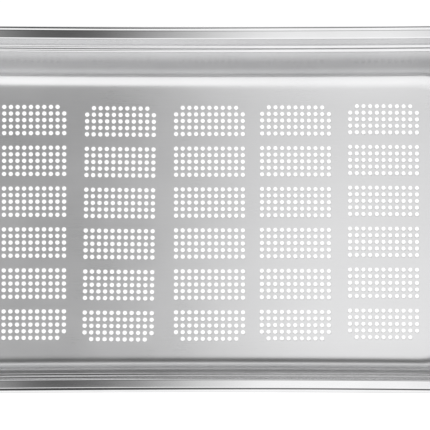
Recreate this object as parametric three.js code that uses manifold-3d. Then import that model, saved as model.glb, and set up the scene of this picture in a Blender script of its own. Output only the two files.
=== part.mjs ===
// Deep-drawn stainless baking tray of the 530 x 325 mm catering size, 65 mm deep, with a perforated
// base, a stacking shoulder of two ledges high on its walls and a flat flange whose edge is rolled
// round a wire. Millimetres, +Z up, +X along the length, origin under the middle of the base.
import * as THREE from "three";
import { mergeVertices } from "three/addons/utils/BufferGeometryUtils.js";
import Module from "manifold-3d";

// Driving dimensions.
const LENGTH = 530; // over the rolled edges
const WIDTH = 325;
const DEPTH = 65; // from the underside of the base to the top of the rolled edge
const SHEET = 0.8;
// All bend radii are those of the inner, upper surface. Slopes are degrees from level, falling
// inwards, and drafts are degrees from upright.
const EDGE_RADIUS = 1.9; // outside of the rolled edge
const EDGE_ROLL = 240; // degrees that the sheet is rolled round
const EDGE_SLOPE = 22; // of the strip that falls from the rolled edge to the crease
const EDGE_STRIP = 1;
const CREASE_BEND = 0.7;
const CREASE_SLOPE = 7; // of the strip that rises from the crease to the flange
const CREASE_STRIP = 0.4;
const FLANGE_BEND = 2;
const FLANGE_FLAT = 5.5;
const RIM_BEND = 1.8;
const NECK_DRAFT = 12;
const NECK = 12; // length of the straight neck
const LEDGE_BEND = 1.2;
const LEDGE_SLOPE = 10;
const LEDGE = 0.6; // flat part of each of the shoulder's two ledges
const RISER_SLOPE = 60; // between the two
const RISER = 1.2;
const WALL_BEND = 1.5;
const WALL_DRAFT = 16.6;
const HEEL_BEND = 5; // the tighter upper part of the bend round the base
const HEEL_SLOPE = 45;
const BASE_BEND = 15; // its wide lower part
const BASE_CORNER = 40; // corner radii in plan
const RIM_CORNER = 58;
const OUTER_CORNER = 38;
const WIRE_RADIUS = 0.95;
const WIRE_GAP = 1; // between the wire's two butted ends
const CORNER_STEPS = 8; // even, the facets of one corner
const BEND_STEP = 18; // degrees of a bend in one facet
const ROLL_STEP = 30;
const WIRE_SIDES = 8;

const radians = THREE.MathUtils.degToRad;

// A section of the sheet, drawn inwards from the rim as a path of its upper surface. Each station
// is a point (reach, height), with reach measured outwards from the tray's long centre plane, and
// the direction in which the sheet's underside lies. Rolled stations follow the corners of the
// rolled edge in plan, and the others follow those of the wall.
class Section {
  constructor(reach, height, heading) {
    this.point = new THREE.Vector2(reach, height);
    this.heading = heading; // degrees
    this.rolled = true;
    this.stations = [];
    this.mark();
  }

  direction(turn = 0) {
    const angle = radians(this.heading + turn);
    return new THREE.Vector2(Math.cos(angle), Math.sin(angle));
  }

  mark() {
    const { rolled } = this;
    this.stations.push({ point: this.point.clone(), under: this.direction(90), rolled });
  }

  run(length) {
    this.point.addScaledVector(this.direction(), length);
    this.mark();
    return this;
  }

  // Turns left by a positive angle and right by a negative one.
  bend(angle, radius, step = BEND_STEP) {
    const side = Math.sign(angle) * 90;
    const centre = this.point.clone().addScaledVector(this.direction(side), radius);
    const steps = Math.ceil(Math.abs(angle) / step);
    for (let i = 0; i < steps; i++) {
      this.heading += angle / steps;
      this.point.copy(centre).addScaledVector(this.direction(-side), radius);
      this.mark();
    }
    return this;
  }

  // Bends until the path falls inwards at a slope.
  slope(angle, radius) {
    return this.bend(INWARD + angle - this.heading, radius);
  }

  // Ends the rolled stations.
  unrolled() {
    this.rolled = false;
    return this;
  }
}

const INWARD = 180; // heading of a level path towards the middle
const EDGE_REACH = WIDTH / 2 - EDGE_RADIUS; // middle of the rolled edge
const EDGE_HEIGHT = DEPTH - EDGE_RADIUS;

// From the rolled edge's free end, over the flange, down the wall and on to the flat of the base.
function sheetSection(wall) {
  const start = radians(90 - EDGE_ROLL);
  return new Section(
    EDGE_REACH + EDGE_RADIUS * Math.cos(start),
    EDGE_HEIGHT + EDGE_RADIUS * Math.sin(start),
    INWARD - EDGE_ROLL,
  )
    .bend(EDGE_ROLL, EDGE_RADIUS, ROLL_STEP)
    .slope(EDGE_SLOPE, EDGE_RADIUS)
    .run(EDGE_STRIP)
    .slope(-CREASE_SLOPE, CREASE_BEND)
    .run(CREASE_STRIP)
    .slope(0, FLANGE_BEND)
    .unrolled()
    .run(FLANGE_FLAT)
    .slope(90 - NECK_DRAFT, RIM_BEND)
    .run(NECK)
    .slope(LEDGE_SLOPE, LEDGE_BEND)
    .run(LEDGE)
    .slope(RISER_SLOPE, LEDGE_BEND)
    .run(RISER)
    .slope(LEDGE_SLOPE, LEDGE_BEND)
    .run(LEDGE)
    .slope(90 - WALL_DRAFT, WALL_BEND)
    .run(wall)
    .slope(HEEL_SLOPE, HEEL_BEND)
    .slope(0, BASE_BEND)
    .stations;
}

// The straight wall takes up whatever depth the rest of the section leaves.
const spare = sheetSection(0).at(-1).point.y - SHEET;
const stations = sheetSection(spare / Math.cos(radians(WALL_DRAFT)));
const baseReach = stations.at(-1).point.x;
const rimReach = stations.find((s) => !s.rolled).point.x;

// Corner radius in plan at a given reach: the wall's grows steadily from the base to the rim, and
// the rolled edge follows a tighter corner of its own, so the flange is wider at the corners.
function cornerRadius(reach, rolled) {
  if (rolled) return OUTER_CORNER + reach - WIDTH / 2;
  const share = (reach - baseReach) / (rimReach - baseReach);
  return BASE_CORNER + (RIM_CORNER - BASE_CORNER) * share;
}

// A rounded rectangle at one reach and height, anticlockwise from above.
function ring(reach, height, radius) {
  const x = reach + (LENGTH - WIDTH) / 2 - radius;
  const y = reach - radius;
  const path = new THREE.Path();
  [[x, y], [-x, y], [-x, -y], [x, -y]].forEach(([cx, cy], quarter) => {
    const start = quarter * Math.PI / 2;
    path.absarc(cx, cy, radius, start, start + Math.PI / 2);
  });
  return path.getPoints(CORNER_STEPS / 2).map((p) => new THREE.Vector3(p.x, p.y, height));
}

// Joins a list of rings with faces. The list is closed on itself, or its first and last rings
// are capped flat.
function loft(rings, closed) {
  const count = rings[0].length;
  const points = rings.flat();
  const faces = [];
  const spans = closed ? rings.length : rings.length - 1;
  for (let k = 0; k < spans; k++) {
    const near = k * count;
    const far = ((k + 1) % rings.length) * count;
    for (let i = 0; i < count; i++) {
      const j = (i + 1) % count;
      faces.push(near + i, far + i, far + j, near + i, far + j, near + j);
    }
  }
  if (!closed) {
    const last = (rings.length - 1) * count;
    for (let i = 1; i < count - 1; i++) {
      faces.push(0, i, i + 1, last, last + i + 1, last + i);
    }
  }
  return new THREE.BufferGeometry().setFromPoints(points).setIndex(faces);
}

// The whole sheet: its upper surface from the base out to the rolled edge's free end, and its
// underside back again.
function trayShell() {
  const rings = stations.map(({ point, under, rolled }) => {
    const radius = cornerRadius(point.x, rolled);
    return {
      upper: ring(point.x, point.y, radius),
      under: ring(point.x + SHEET * under.x, point.y + SHEET * under.y, radius + SHEET * under.x),
    };
  });
  return loft([...rings.map((r) => r.upper).reverse(), ...rings.map((r) => r.under)], false);
}

const wasm = await Module();
wasm.setup();

function solidOf(geometry) {
  const bare = geometry.clone();
  bare.deleteAttribute("normal");
  bare.deleteAttribute("uv");
  const merged = mergeVertices(bare);
  return new wasm.Manifold(new wasm.Mesh({
    numProp: 3,
    vertProperties: merged.attributes.position.array,
    triVerts: new Uint32Array(merged.index.array),
  }));
}

function geometryOf(solid) {
  const { vertProperties, triVerts } = solid.getMesh();
  return new THREE.BufferGeometry()
    .setAttribute("position", new THREE.BufferAttribute(vertProperties, 3))
    .setIndex(new THREE.BufferAttribute(triVerts, 1));
}

// A round wire loop inside the rolled edge, open by a small gap at the middle of one short side.
function rimWire() {
  const rings = [];
  for (let i = 0; i < WIRE_SIDES; i++) {
    const angle = -2 * Math.PI * i / WIRE_SIDES;
    const reach = EDGE_REACH + WIRE_RADIUS * Math.cos(angle);
    const height = EDGE_HEIGHT + WIRE_RADIUS * Math.sin(angle);
    rings.push(ring(reach, height, cornerRadius(reach, true)));
  }
  const across = 4 * WIRE_RADIUS;
  const cut = new THREE.BoxGeometry(across, WIRE_GAP, across);
  cut.translate(LENGTH / 2 - EDGE_RADIUS, 0, EDGE_HEIGHT);
  return geometryOf(solidOf(loft(rings, true)).subtract(solidOf(cut)));
}

function mesh(name, geometry, color, roughness, metalness) {
  const material = new THREE.MeshStandardMaterial({ color, roughness, metalness });
  geometry.computeVertexNormals();
  const made = new THREE.Mesh(geometry, material);
  made.name = name;
  return made;
}

const tray = new THREE.Group();
tray.add(mesh("tray_shell", trayShell(), 0xc9cacb, 0.3, 1));
tray.add(mesh("rim_wire", rimWire(), 0x8f9295, 0.5, 1));

export default tray;
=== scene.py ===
"""A perforated stainless baking tray: one deep-drawn sheet with a wired, rolled edge."""
import math

import bmesh
import bpy
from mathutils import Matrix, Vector
from mathutils.geometry import delaunay_2d_cdt


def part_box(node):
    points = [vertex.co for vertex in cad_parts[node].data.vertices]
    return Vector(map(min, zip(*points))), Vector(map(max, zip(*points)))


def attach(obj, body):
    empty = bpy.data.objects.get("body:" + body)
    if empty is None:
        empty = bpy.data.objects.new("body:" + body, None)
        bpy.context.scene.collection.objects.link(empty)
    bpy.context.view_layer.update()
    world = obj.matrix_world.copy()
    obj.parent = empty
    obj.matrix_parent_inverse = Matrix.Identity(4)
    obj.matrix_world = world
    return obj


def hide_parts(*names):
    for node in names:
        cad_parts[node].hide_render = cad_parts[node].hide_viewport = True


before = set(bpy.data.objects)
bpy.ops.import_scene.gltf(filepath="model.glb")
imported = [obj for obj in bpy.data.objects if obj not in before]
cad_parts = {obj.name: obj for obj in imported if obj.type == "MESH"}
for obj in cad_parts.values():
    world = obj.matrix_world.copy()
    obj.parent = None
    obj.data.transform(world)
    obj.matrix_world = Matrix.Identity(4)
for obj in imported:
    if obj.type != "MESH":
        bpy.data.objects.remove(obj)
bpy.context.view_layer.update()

MM = 0.001

# The drawn section, as in the design. Bend radii are those of the upper surface, slopes are
# degrees from level, falling inwards, and drafts are degrees from upright.
LENGTH, WIDTH, DEPTH = (high - low for low, high in zip(*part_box("tray_shell")))
SHEET = 0.8 * MM
EDGE_RADIUS = 1.9 * MM
EDGE_ROLL = 240
EDGE_SLOPE = 22  # of the strip that falls from the rolled edge to the crease
EDGE_STRIP = 1 * MM
CREASE_BEND = 0.7 * MM
CREASE_SLOPE = 7  # of the strip that rises from the crease to the flange
CREASE_STRIP = 0.4 * MM
FLANGE_BEND = 2 * MM
FLANGE_FLAT = 5.5 * MM
RIM_BEND = 1.8 * MM
NECK_DRAFT = 12
NECK = 12 * MM
LEDGE_BEND = 1.2 * MM
LEDGE_SLOPE = 10
LEDGE = 0.6 * MM  # the flat of each of the shoulder's two ledges
RISER_SLOPE = 60
RISER = 1.2 * MM
WALL_BEND = 1.5 * MM
WALL_DRAFT = 16.6
HEEL_BEND = 5 * MM  # the tighter upper part of the bend round the base
HEEL_SLOPE = 45
BASE_BEND = 15 * MM  # its wide lower part
BASE_CORNER = 40 * MM
RIM_CORNER = 58 * MM
OUTER_CORNER = 38 * MM
WIRE_RADIUS = 0.95 * MM
WIRE_GAP = 1 * MM
SIDE_BOW = 1.1 * MM  # how far the middle of a long side springs inwards
BOW_FADE = 10 * MM  # over which that dies out in the edge of the base

# The perforation.
HOLE_RADIUS = 1.9 * MM
HOLE_SIDES = 16
HOLE_PITCH = 5.85 * MM
HOLES_ALONG, HOLES_ACROSS = 11, 5
BLOCK_COLUMNS, BLOCK_ROWS = 5, 6
COLUMN_PITCH = 77.2 * MM
ROW_PITCH = 36.4 * MM
# Each column of blocks was punched in one stroke of its own, a little out of place: the shift
# along, the shift across and the turn in degrees.
COLUMN_ERRORS = (
    (-0.5 * MM, -0.4 * MM, 0.06),
    (-0.1 * MM, -1.7 * MM, -0.55),
    (1.6 * MM, -1.2 * MM, 0.02),
    (-0.4 * MM, -0.8 * MM, -0.15),
    (-0.5 * MM, 0.3 * MM, -0.20),
)

# Facets.
CORNER_STEPS = 18
LONG_CUTS, SHORT_CUTS = 12, 4
BEND_STEP = 15
BASE_BEND_STEP = 7
WIRE_RESOLUTION = 4  # gives the wire twelve sides
STACK_SPACING = 20 * MM
SMOOTH_ANGLE = math.radians(30)
MERGE = 0.01 * MM  # points this close are one


# ---------------------------------------------------------------- the section of the sheet


class Section:
    """The upper surface of the sheet in section, drawn inwards from the rim, as stations of reach,
    measured outwards from the long centre plane, and height. Rolled stations follow the corners
    of the rolled edge in plan, and the others follow those of the wall."""

    def __init__(self, reach, height, heading):
        self.point = Vector((reach, height))
        self.heading = heading
        self.rolled = True
        self.stations = []
        self.mark()

    def mark(self):
        self.stations.append((self.point.copy(), self.rolled))

    def direction(self, turn=0):
        angle = math.radians(self.heading + turn)
        return Vector((math.cos(angle), math.sin(angle)))

    def run(self, length):
        self.point += self.direction() * length
        self.mark()

    def bend(self, angle, radius, step=BEND_STEP):
        side = math.copysign(90, angle)
        centre = self.point + self.direction(side) * radius
        steps = math.ceil(abs(angle) / step)
        for _ in range(steps):
            self.heading += angle / steps
            self.point = centre + self.direction(-side) * radius
            self.mark()

    def slope(self, angle, radius, step=BEND_STEP):
        """Bends until the path falls inwards at a slope."""
        self.bend(INWARD + angle - self.heading, radius, step)


INWARD = 180  # heading of a level path towards the middle
EDGE_REACH = WIDTH / 2 - EDGE_RADIUS
EDGE_HEIGHT = DEPTH - EDGE_RADIUS


def sheet_section(wall):
    """From the rolled edge's free end, over the flange, down the wall and on to the base."""
    start = math.radians(90 - EDGE_ROLL)
    reach = EDGE_REACH + EDGE_RADIUS * math.cos(start)
    height = EDGE_HEIGHT + EDGE_RADIUS * math.sin(start)
    section = Section(reach, height, INWARD - EDGE_ROLL)
    section.bend(EDGE_ROLL, EDGE_RADIUS)
    section.slope(EDGE_SLOPE, EDGE_RADIUS)
    section.run(EDGE_STRIP)
    section.slope(-CREASE_SLOPE, CREASE_BEND)
    section.run(CREASE_STRIP)
    section.slope(0, FLANGE_BEND)
    section.rolled = False
    section.run(FLANGE_FLAT)
    section.slope(90 - NECK_DRAFT, RIM_BEND)
    section.run(NECK)
    section.slope(LEDGE_SLOPE, LEDGE_BEND)
    section.run(LEDGE)
    section.slope(RISER_SLOPE, LEDGE_BEND)
    section.run(RISER)
    section.slope(LEDGE_SLOPE, LEDGE_BEND)
    section.run(LEDGE)
    section.slope(90 - WALL_DRAFT, WALL_BEND)
    section.run(wall)
    section.slope(HEEL_SLOPE, HEEL_BEND, BASE_BEND_STEP)
    section.slope(0, BASE_BEND, BASE_BEND_STEP)
    return section.stations


# The straight wall takes up whatever depth the rest of the section leaves.
SPARE_DEPTH = sheet_section(0)[-1][0].y - SHEET
STATIONS = sheet_section(SPARE_DEPTH / math.cos(math.radians(WALL_DRAFT)))
BASE_REACH, BASE_HEIGHT = STATIONS[-1][0]
RIM_REACH = next(point.x for point, rolled in STATIONS if not rolled)


def corner_radius(reach, rolled=True):
    """The corner radius in plan. The wall's grows from the base to the rim."""
    if rolled:
        return OUTER_CORNER + reach - WIDTH / 2
    share = (reach - BASE_REACH) / (RIM_REACH - BASE_REACH)
    return BASE_CORNER + (RIM_CORNER - BASE_CORNER) * share


# ---------------------------------------------------------------- modelling helpers


def edit_mesh():
    return bmesh.from_edit_mesh(bpy.context.object.data)


def select(test, kind="verts"):
    """In edit mode, selects just the elements that pass the test."""
    mesh = edit_mesh()
    bpy.ops.mesh.select_all(action="DESELECT")
    bpy.ops.mesh.select_mode(type={"verts": "VERT", "edges": "EDGE", "faces": "FACE"}[kind])
    for item in getattr(mesh, kind):
        if test(item):
            item.select_set(True)
    mesh.select_flush_mode()
    bmesh.update_edit_mesh(bpy.context.object.data)


def editing(begin=True):
    bpy.ops.object.mode_set(mode="EDIT" if begin else "OBJECT")


def only(*objects):
    """Selects just these objects, and makes the first one active."""
    bpy.ops.object.select_all(action="DESELECT")
    for item in objects:
        item.select_set(True)
    bpy.context.view_layer.objects.active = objects[0]


def apply_modifier(kind, **settings):
    bpy.ops.object.modifier_add(type=kind)
    modifier = bpy.context.object.modifiers[-1]
    for name, value in settings.items():
        setattr(modifier, name, value)
    bpy.ops.object.modifier_apply(modifier=modifier.name)


def mark(name, kind, value):
    """Gives every vertex of the active object a named value."""
    data = bpy.context.object.data
    layer = data.attributes.new(name, kind, "POINT")
    for entry in layer.data:
        entry.value = value


def sides(triangle):
    return [frozenset(pair) for pair in zip(triangle, triangle[1:] + triangle[:1])]


def reachable(triangles, start, walls):
    """The triangles that join up with those at the start corner without crossing a wall."""
    beside = {}
    for triangle in triangles:
        for side in sides(triangle):
            beside.setdefault(side, []).append(triangle)
    waiting = [triangle for triangle in triangles if start in triangle]
    found = {}  # keeps its order, so that every run fills alike
    while waiting:
        triangle = waiting.pop()
        if tuple(triangle) not in found:
            found[tuple(triangle)] = triangle
            for side in sides(triangle):
                waiting += beside[side] if side not in walls else []
    return list(found)


def fill_between(test):
    """In edit mode, fills the level ground between the outermost closed loop of the edges that
    pass the test and the others. The fill operator would leave slivers along straight rows."""
    mesh = edit_mesh()
    edges = [edge for edge in mesh.edges if test(edge)]
    corners = list(dict.fromkeys(vertex for edge in edges for vertex in edge.verts))
    number = {vertex: n for n, vertex in enumerate(corners)}
    pairs = [tuple(number[vertex] for vertex in edge.verts) for edge in edges]
    points = [vertex.co.xy / MM for vertex in corners]
    within_outline = 1
    tolerance = 1e-6
    made = delaunay_2d_cdt(points, pairs, [], within_outline, tolerance)
    faces, sources = made[2], made[3]
    triangles = [[sources[n][0] for n in face] for face in faces]
    outermost = max(range(len(points)), key=lambda n: points[n].x)
    for triangle in reachable(triangles, outermost, set(map(frozenset, pairs))):
        mesh.faces.new([corners[n] for n in triangle])
    bmesh.update_edit_mesh(bpy.context.object.data)


def place_in_mesh():
    bpy.ops.object.transform_apply(location=True, rotation=True, scale=True)


def loop(reach, height, corner, number=0):
    """A rounded rectangle of edges at one reach and height."""
    bpy.ops.object.select_all(action="DESELECT")
    bpy.ops.mesh.primitive_plane_add(size=2, location=(0, 0, height))
    bpy.ops.transform.resize(value=(reach + (LENGTH - WIDTH) / 2, reach, 1))
    place_in_mesh()
    editing()
    bpy.ops.mesh.bevel(offset=corner, segments=CORNER_STEPS, affect="VERTICES", profile=0.5)
    bpy.ops.mesh.delete(type="ONLY_FACE")

    def straight(edge, across):
        """Whether this is the long straight of a side that runs square to the axis across it."""
        start, end = (vertex.co for vertex in edge.verts)
        return edge.calc_length() > corner and abs(end[across] - start[across]) < SHEET

    for across, cuts in ((1, LONG_CUTS), (0, SHORT_CUTS)):
        select(lambda e: straight(e, across), "edges")
        bpy.ops.mesh.subdivide(number_cuts=cuts)
    editing(False)
    mark("ring", "INT", number)
    return bpy.context.object


# ---------------------------------------------------------------- the tray


def hole_cell():
    """One round hole in its square of sheet. The sheet's vertices on the hole's edge are marked."""
    bpy.ops.object.select_all(action="DESELECT")
    bpy.ops.mesh.primitive_circle_add(
        vertices=HOLE_SIDES, radius=HOLE_RADIUS, fill_type="NOTHING", location=(0, 0, BASE_HEIGHT))
    place_in_mesh()
    mark("hole", "FLOAT", 1.0)
    centre = (0, 0, BASE_HEIGHT)
    square = HOLE_PITCH / 2 / HOLE_RADIUS
    editing()
    bpy.ops.mesh.select_all(action="SELECT")
    bpy.ops.mesh.extrude_edges_move()
    bpy.ops.transform.resize(value=(square, square, 1), center_override=centre)
    hole = edit_mesh().verts.layers.float["hole"]
    halfway = (HOLE_RADIUS + HOLE_PITCH / 2) / 2
    for vertex in edit_mesh().verts:
        if vertex.co.xy.length > halfway:
            vertex[hole] = 0.0
    # The outer ring is drawn out to the square, first between its sides and corners. Each move
    # renews the mesh, so the marks are read again after it.
    slack = 0.02 * HOLE_PITCH

    def outer(vertex):
        return vertex[hole] == 0

    def diagonal(vertex):
        return outer(vertex) and abs(abs(vertex.co.x) - abs(vertex.co.y)) < slack

    def oblique(vertex):
        return outer(vertex) and not diagonal(vertex) and min(map(abs, vertex.co.xy)) > slack

    for test, reach in ((oblique, 1 / math.cos(2 * math.pi / HOLE_SIDES)), (diagonal, math.sqrt(2))):
        select(test)
        bpy.ops.transform.resize(value=(reach, reach, 1), center_override=centre)
        hole = edit_mesh().verts.layers.float["hole"]
    editing(False)
    return bpy.context.object


def hole_block():
    """A block of holes about the origin."""
    block = hole_cell()
    for axis, count in ((0, HOLES_ALONG), (1, HOLES_ACROSS)):
        step = [0, 0, 0]
        step[axis] = HOLE_PITCH
        apply_modifier(
            "ARRAY", count=count, use_relative_offset=False, use_constant_offset=True,
            constant_offset_displace=step, use_merge_vertices=True, merge_threshold=MERGE)
    shift = [-(count - 1) / 2 * HOLE_PITCH for count in (HOLES_ALONG, HOLES_ACROSS)]
    bpy.ops.transform.translate(value=(*shift, 0))
    place_in_mesh()
    block.name = "block"
    return block


def without_corners(block, side):
    """A copy of a block that has lost both corner holes on one side of it."""
    only(block)
    bpy.ops.object.duplicate()
    corner_x = (HOLES_ALONG - 2) / 2 * HOLE_PITCH
    corner_y = (HOLES_ACROSS - 2) / 2 * HOLE_PITCH

    def at_corner(face):
        middle = face.calc_center_median()
        return abs(middle.x) > corner_x and side * middle.y > corner_y

    editing()
    select(at_corner, "faces")
    bpy.ops.mesh.delete(type="FACE")
    editing(False)
    return bpy.context.object


def perforated_blocks():
    plain = hole_block()
    back = without_corners(plain, 1)
    front = without_corners(plain, -1)
    blocks = []
    for column, (along, across, turn) in enumerate(COLUMN_ERRORS):
        x = (column - (BLOCK_COLUMNS - 1) / 2) * COLUMN_PITCH + along
        for row in range(BLOCK_ROWS):
            y = (row - (BLOCK_ROWS - 1) / 2) * ROW_PITCH
            only(front if row == 0 else back if row == BLOCK_ROWS - 1 else plain)
            bpy.ops.object.duplicate()
            bpy.ops.transform.translate(value=(x, y + across, 0))
            place_in_mesh()
            block = bpy.context.object
            editing()
            bpy.ops.mesh.select_all(action="SELECT")
            # Turned about the middle of the column.
            bpy.ops.transform.rotate(value=-math.radians(turn), orient_axis="Z",
                                     center_override=(x, across, BASE_HEIGHT))
            editing(False)
            blocks.append(block)
    for model in (plain, back, front):
        bpy.data.objects.remove(model)
    return blocks


def bow_long_sides(tray):
    """Springs the long walls and flanges in at the middle, and leaves the base flat."""
    half = LENGTH / 2 - RIM_CORNER
    for vertex in tray.data.vertices:
        x, y, _ = vertex.co
        share = min(max((abs(y) - BASE_REACH) / BOW_FADE + 1, 0), 1)
        vertex.co.y -= math.copysign(SIDE_BOW * share * max(1 - (x / half) ** 2, 0), y)


def drawn_sheet():
    """The sheet outside the base's perforated flat, from the rolled edge's free end inwards. Its
    rings are bridged as a tall stack, because bridging mistakes the sides of level rings, and then
    lowered to their heights."""
    rings = [loop(point.x, number * STACK_SPACING, corner_radius(point.x, rolled), number)
             for number, (point, rolled) in enumerate(STATIONS)]
    only(*rings)
    bpy.ops.object.join()
    editing()
    for number in range(len(STATIONS) - 1):
        ring = edit_mesh().verts.layers.int["ring"]
        pair = (number, number + 1)
        select(lambda e: e.verts[0][ring] == e.verts[1][ring] and e.verts[0][ring] in pair, "edges")
        bpy.ops.mesh.bridge_edge_loops()
    ring = edit_mesh().verts.layers.int["ring"]
    for vertex in edit_mesh().verts:
        vertex.co.z = STATIONS[vertex[ring]][0].y
    editing(False)
    return bpy.context.object


def tray_shell():
    blocks = perforated_blocks()
    only(drawn_sheet(), *blocks)
    bpy.ops.object.join()
    tray = bpy.context.object
    tray.name = tray.data.name = "perforated_tray"
    editing()
    hole = edit_mesh().verts.layers.float["hole"]

    def plain_edge(edge):
        level = all(abs(v.co.z - BASE_HEIGHT) < 0.1 * SHEET for v in edge.verts)
        return edge.is_boundary and level and not any(v[hole] for v in edge.verts)

    fill_between(plain_edge)
    bpy.ops.mesh.select_all(action="SELECT")
    bpy.ops.mesh.normals_make_consistent(inside=False)
    lowest = min(edit_mesh().faces, key=lambda f: f.calc_center_median().z)
    if lowest.normal.z < 0:
        bpy.ops.mesh.flip_normals()
    editing(False)
    apply_modifier("SOLIDIFY", thickness=SHEET, offset=-1, use_even_offset=True)
    bow_long_sides(tray)
    bpy.ops.object.shade_smooth_by_angle(angle=SMOOTH_ANGLE)
    return tray


def rim_wire():
    """The round wire inside the rolled edge, butted with a small gap at one end of the tray."""
    wire = loop(EDGE_REACH, EDGE_HEIGHT, corner_radius(EDGE_REACH))
    bow_long_sides(wire)
    editing()
    for side in (-1, 1):
        bpy.ops.mesh.select_all(action="SELECT")
        bpy.ops.mesh.bisect(plane_co=(0, side * WIRE_GAP / 2, 0), plane_no=(0, 1, 0))
    select(lambda e: all(v.co.x > 0 and abs(v.co.y) < WIRE_GAP for v in e.verts), "edges")
    bpy.ops.mesh.delete(type="EDGE")
    editing(False)
    bpy.ops.object.convert(target="CURVE")
    wire = bpy.context.object
    wire.data.bevel_depth = WIRE_RADIUS
    wire.data.bevel_resolution = WIRE_RESOLUTION
    wire.data.use_fill_caps = True
    bpy.ops.object.convert(target="MESH")
    wire = bpy.context.object
    editing()
    bpy.ops.mesh.select_all(action="SELECT")
    bpy.ops.mesh.remove_doubles(threshold=MERGE)
    bpy.ops.mesh.normals_make_consistent(inside=False)
    editing(False)
    bpy.ops.object.shade_smooth_by_angle(angle=SMOOTH_ANGLE)
    wire.name = wire.data.name = "edge_wire"
    return wire


# ---------------------------------------------------------------- finishes


class Value:
    """A shader socket that takes part in Python arithmetic."""

    def __init__(self, finish, socket):
        self.finish, self.socket = finish, socket

    def maths(self, operation, *values):
        return self.finish.node("ShaderNodeMath", {"operation": operation}, dict(enumerate(values)))

    def __add__(self, other):
        return self.maths("ADD", self, other)

    def __sub__(self, other):
        return self.maths("SUBTRACT", self, other)

    def __rsub__(self, other):
        return self.maths("SUBTRACT", other, self)

    def __mul__(self, other):
        return self.maths("MULTIPLY", self, other)

    __radd__ = __add__

    def step(self, start, end, low=0.0, high=1.0):
        """Goes smoothly from low to high as this goes from start to end."""
        settings = {"interpolation_type": "SMOOTHSTEP"}
        limits = {"Value": self, "From Min": start, "From Max": end, "To Min": low, "To Max": high}
        return self.finish.node("ShaderNodeMapRange", settings, limits)


class Finish:
    """A node tree under construction: a material's, or the world's."""

    def __init__(self, owner):
        owner.use_nodes = True
        self.tree = owner.node_tree
        self.tree.nodes.clear()

    def node(self, kind, settings=None, inputs=None, output=0):
        """Adds a node with its settings, then the values or links of its sockets."""
        made = self.tree.nodes.new(kind)
        for name, value in (settings or {}).items():
            setattr(made, name, value)
        for name, value in (inputs or {}).items():
            if isinstance(value, Value):
                self.tree.links.new(value.socket, made.inputs[name])
            else:
                made.inputs[name].default_value = value
        return Value(self, made.outputs[output]) if made.outputs else made

    def place(self):
        """Object coordinates, and each of them as a value."""
        where = self.node("ShaderNodeTexCoord", output="Object")
        split = self.node("ShaderNodeSeparateXYZ", inputs={"Vector": where}).socket.node
        return where, *(Value(self, split.outputs[axis]) for axis in "XYZ")

    def stretched(self, where, scale, angle=0):
        """Coordinates turned about Z by an angle in degrees, then scaled along each axis."""
        inputs = {"Vector": where, "Rotation": (0, 0, math.radians(angle)), "Scale": scale}
        return self.node("ShaderNodeMapping", inputs=inputs)

    def noise(self, where, detail, scale=1.0):
        inputs = {"Vector": where, "Scale": scale, "Detail": detail}
        return self.node("ShaderNodeTexNoise", inputs=inputs)

    def grey(self, value, low, high):
        """A colour between two colours."""
        inputs = {"Factor": value, 6: (*low, 1), 7: (*high, 1)}
        settings = {"data_type": "RGBA"}
        return self.node("ShaderNodeMix", settings, inputs, output=2)


def material(name):
    return bpy.data.materials.new(name)


# Noise scales are in waves per metre along X, Y and Z.
GRAIN_SCALE = (40, 4000, 4000)
LINE_SCALE = (8, 8, 3500)
SCRATCH_SCALE = (12, 1800, 12)
CLOUD_SCALE = 14
WAVE_SCALE = 22
SCRATCHES = ((25, 0.8), (-40, 0.81), (80, 0.8))  # angle, and how rare they are
SCRATCH_EDGE = 0.02
MEAN = 0.5  # of a noise
SATIN = 0.29  # the roughness of the plain base
CLOUD_ROUGHNESS = 0.08
GRAIN_ROUGHNESS = 0.05
SCRATCH_ROUGHNESS = 0.05
LIP_POLISH = 0.05
WALL_POLISH = 0.13  # how much smoother drawing leaves the wall
FLANGE_POLISH = 0.06
LIP = (0.82, 1.0)  # how much of a hole's mark counts as its lip
PLAIN_TONE = 0.8  # between dark and bright steel
CLOUD_TONE = 0.3
GRAIN_TONE = 0.15
# Painted shade: how much the colour round each hole's lip is darkened.
LIP_PAINTED_SHADE = 0.15
# Painted shade: how much the back wall's colour is darkened half way up.
BACK_WALL_PAINTED_SHADE = 0.62
WAVE_HEIGHT = 0.02 * MM
GRAIN_HEIGHT = 0.0003 * MM
LINE_HEIGHT = 0.005 * MM
LIP_DEPTH = 0.08 * MM
SCRATCH_DEPTH = 0.0006 * MM
DARK_STEEL = (0.36, 0.36, 0.364)
BRIGHT_STEEL = (0.76, 0.76, 0.766)


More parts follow.
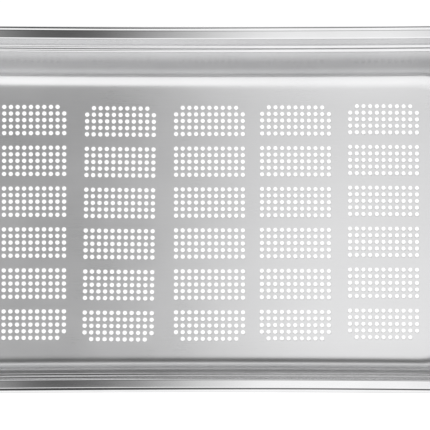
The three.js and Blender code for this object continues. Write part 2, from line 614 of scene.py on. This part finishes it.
def tray_steel():
    """Satin rolled stainless: rolling grain along the sheet, polishing lines round the drawn wall,
    light handling scratches, and the burnished, sunken edges that the punch leaves round each hole.
    The colour is darkened with painted shade round each hole's lip and half way up the back wall."""
    made = material("satin_stainless")
    steel = Finish(made)
    where, _, y, z = steel.place()
    grain = steel.noise(steel.stretched(where, GRAIN_SCALE), detail=3)
    fibre = grain - MEAN
    cloud = steel.noise(where, detail=3, scale=CLOUD_SCALE) - MEAN
    lines = steel.noise(steel.stretched(where, LINE_SCALE), detail=1)
    scratch = 0.0
    for angle, rarity in SCRATCHES:
        streak = steel.noise(steel.stretched(where, SCRATCH_SCALE, angle), detail=1)
        scratch = streak.step(rarity - SCRATCH_EDGE, rarity + SCRATCH_EDGE) + scratch
    mark_of_hole = steel.node("ShaderNodeAttribute", {"attribute_name": "hole"}, output="Fac")
    lip = mark_of_hole.step(*LIP)
    drawn = z.step(3 * MM, 10 * MM)
    wall = z.step(12 * MM, 20 * MM)
    flange = z.step(60 * MM, 63 * MM)
    rough = SATIN + cloud * CLOUD_ROUGHNESS + fibre * GRAIN_ROUGHNESS
    rough = rough + scratch * SCRATCH_ROUGHNESS - lip * LIP_POLISH
    rough = rough - wall * WALL_POLISH - flange * FLANGE_POLISH
    waves = steel.noise(where, detail=1, scale=WAVE_SCALE) * WAVE_HEIGHT
    height = waves + grain * GRAIN_HEIGHT + lines * drawn * LINE_HEIGHT
    height = height - lip * LIP_DEPTH - scratch * SCRATCH_DEPTH
    bump = steel.node("ShaderNodeBump", inputs={"Strength": 1.0, "Distance": 1.0, "Height": height})
    # The back wall's colour is darkened half way up with painted shade.
    back = y.step(0.10, 0.12)
    painted_back_wall_shade = z.step(8 * MM, 22 * MM) * z.step(46 * MM, 28 * MM) * back
    tone = cloud * CLOUD_TONE + fibre * GRAIN_TONE + PLAIN_TONE
    # Painted shade darkens the colour round each hole's lip and half way up the back wall.
    tone = tone - lip * LIP_PAINTED_SHADE - painted_back_wall_shade * BACK_WALL_PAINTED_SHADE
    shader = steel.node("ShaderNodeBsdfPrincipled", inputs={
        "Base Color": steel.grey(tone, DARK_STEEL, BRIGHT_STEEL), "Metallic": 1.0,
        "Roughness": rough, "Normal": bump})
    steel.node("ShaderNodeOutputMaterial", inputs={"Surface": shader})
    return made


DIE_SCALE = (30, 30, 3000)
DIE_HEIGHT = 0.004 * MM
WIRE_CLOUD_SCALE = 60
WIRE_ROUGHNESS = 0.38
WIRE_CLOUD_ROUGHNESS = 0.2
DARK_WIRE = (0.36, 0.37, 0.38)
BRIGHT_WIRE = (0.50, 0.51, 0.52)


def wire_steel():
    """Drawn wire, duller than the sheet, with the die's lines along it."""
    made = material("drawn_wire")
    steel = Finish(made)
    where, *_ = steel.place()
    die = steel.noise(steel.stretched(where, DIE_SCALE), detail=2)
    cloud = steel.noise(where, detail=3, scale=WIRE_CLOUD_SCALE)
    height = die * DIE_HEIGHT
    bump = steel.node("ShaderNodeBump", inputs={"Strength": 1.0, "Distance": 1.0, "Height": height})
    shader = steel.node("ShaderNodeBsdfPrincipled", inputs={
        "Base Color": steel.grey(cloud, DARK_WIRE, BRIGHT_WIRE), "Metallic": 1.0,
        "Roughness": WIRE_ROUGHNESS + (cloud - MEAN) * WIRE_CLOUD_ROUGHNESS, "Normal": bump})
    steel.node("ShaderNodeOutputMaterial", inputs={"Surface": shader})
    return made


# ---------------------------------------------------------------- studio

WHITE = (1, 1, 1, 1)
FLOOR_SIZE = 12
FLOOR_GAP = 0.2 * MM  # keeps the floor clear of the underside
FLOOR_COLOUR = (0.15, 0.15, 0.15, 1)
FLOOR_ROUGHNESS = 0.9
FLOOR_GLOW = 0.96
SCREEN_HEIGHT = 0.9
SCREEN_REACH = (2.5, 0.75)
# Over the tray the screen is dim between a weak patch at the left and a strong one at the right,
# which falls off again further right. Towards the front it is bright all along.
DIM_GLOW = 0.14
LEFT_GLOW = 0.5
RIGHT_GLOW = 1.21
RIGHT_FALL = 0.35
FRONT_GLOW = 1.34
BACK_GLOW = 0.90  # the share of its light that is left towards the back
BACK_EDGE = (0.52, 0.39)  # where it ends at the back
BEYOND_GLOW = 0.16  # the share left beyond that
ROOM_GLOW = 0.14
ROOM_LIGHT = 1.16  # what its bright parts add


def floor():
    """A pale table, lit from within so that it stays even under the tray."""
    bpy.ops.object.select_all(action="DESELECT")
    bpy.ops.mesh.primitive_plane_add(size=FLOOR_SIZE, location=(0, 0, -FLOOR_GAP))
    plane = bpy.context.object
    plane.name = "floor"
    made = material("white_table")
    table = Finish(made)
    shader = table.node("ShaderNodeBsdfPrincipled", inputs={
        "Base Color": FLOOR_COLOUR, "Roughness": FLOOR_ROUGHNESS, "Emission Color": WHITE,
        "Emission Strength": FLOOR_GLOW})
    table.node("ShaderNodeOutputMaterial", inputs={"Surface": shader})
    plane.data.materials.append(made)


def screen():
    """A wide diffusing screen over the tray, lit unevenly, which the camera looks through."""
    bpy.ops.object.select_all(action="DESELECT")
    bpy.ops.mesh.primitive_plane_add(size=2, location=(0, 0, SCREEN_HEIGHT))
    plane = bpy.context.object
    plane.name = "overhead_screen"
    made = material("lit_screen")
    light = Finish(made)
    _, x, y, _ = light.place()
    right = x.step(-0.14, 0.09)
    left = x.step(-0.15, -0.26)
    far_right = x.step(0.16, 0.30)
    over = DIM_GLOW + right * RIGHT_GLOW + left * LEFT_GLOW - far_right * RIGHT_FALL
    front = y.step(-0.06, -0.18)
    glow = over + (FRONT_GLOW - over) * front
    glow = glow * y.step(*BACK_EDGE, BEYOND_GLOW, 1.0) * y.step(0.05, 0.30, 1.0, BACK_GLOW)
    shader = light.node("ShaderNodeEmission", inputs={"Color": WHITE, "Strength": glow})
    light.node("ShaderNodeOutputMaterial", inputs={"Surface": shader})
    plane.data.materials.append(made)
    plane.scale = (*SCREEN_REACH, 1)
    place_in_mesh()
    plane.visible_camera = False
    plane.visible_shadow = False


def surroundings():
    """A bright room, dark high up at the back."""
    world = bpy.data.worlds.new("studio")
    bpy.context.scene.world = world
    sky = Finish(world)
    where = sky.node("ShaderNodeTexCoord", output="Generated")
    split = sky.node("ShaderNodeSeparateXYZ", inputs={"Vector": where}).socket.node
    y, z = (Value(sky, split.outputs[axis]) for axis in "YZ")
    front = y.step(0.3, 0.1)
    horizon = z.step(0.49, 0.26)
    glow = front.maths("MAXIMUM", front, horizon) * ROOM_LIGHT + ROOM_GLOW
    shader = sky.node("ShaderNodeBackground", inputs={"Color": WHITE, "Strength": glow})
    sky.node("ShaderNodeOutputWorld", inputs={"Surface": shader})


CAMERA_TILT = math.radians(10.4)  # from upright, towards the front
CAMERA_DISTANCE = 8
CAMERA_TARGET = Vector((6.4 * MM, 0.1 * MM, 33 * MM))
VIEW_WIDTH = 0.3748  # of the camera, at the target
SENSOR_WIDTH = 36
CLIPPING = (0.1, 50)


def camera():
    data = bpy.data.cameras.new("camera")
    made = bpy.data.objects.new("camera", data)
    bpy.context.collection.objects.link(made)
    back = Vector((0, -math.sin(CAMERA_TILT), math.cos(CAMERA_TILT)))
    made.location = CAMERA_TARGET + back * CAMERA_DISTANCE
    made.rotation_euler = (CAMERA_TILT, 0, 0)
    data.sensor_width = SENSOR_WIDTH
    data.lens = SENSOR_WIDTH * CAMERA_DISTANCE / VIEW_WIDTH
    data.clip_start, data.clip_end = CLIPPING
    bpy.context.scene.camera = made


camera()
tray = tray_shell()
tray.data.materials.clear()
tray.data.materials.append(tray_steel())
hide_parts("tray_shell")
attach(tray, "root")
wire = rim_wire()
wire.data.materials.append(wire_steel())
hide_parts("rim_wire")
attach(wire, "root")
floor()
screen()
surroundings()
bpy.context.scene.view_settings.view_transform = "Standard"
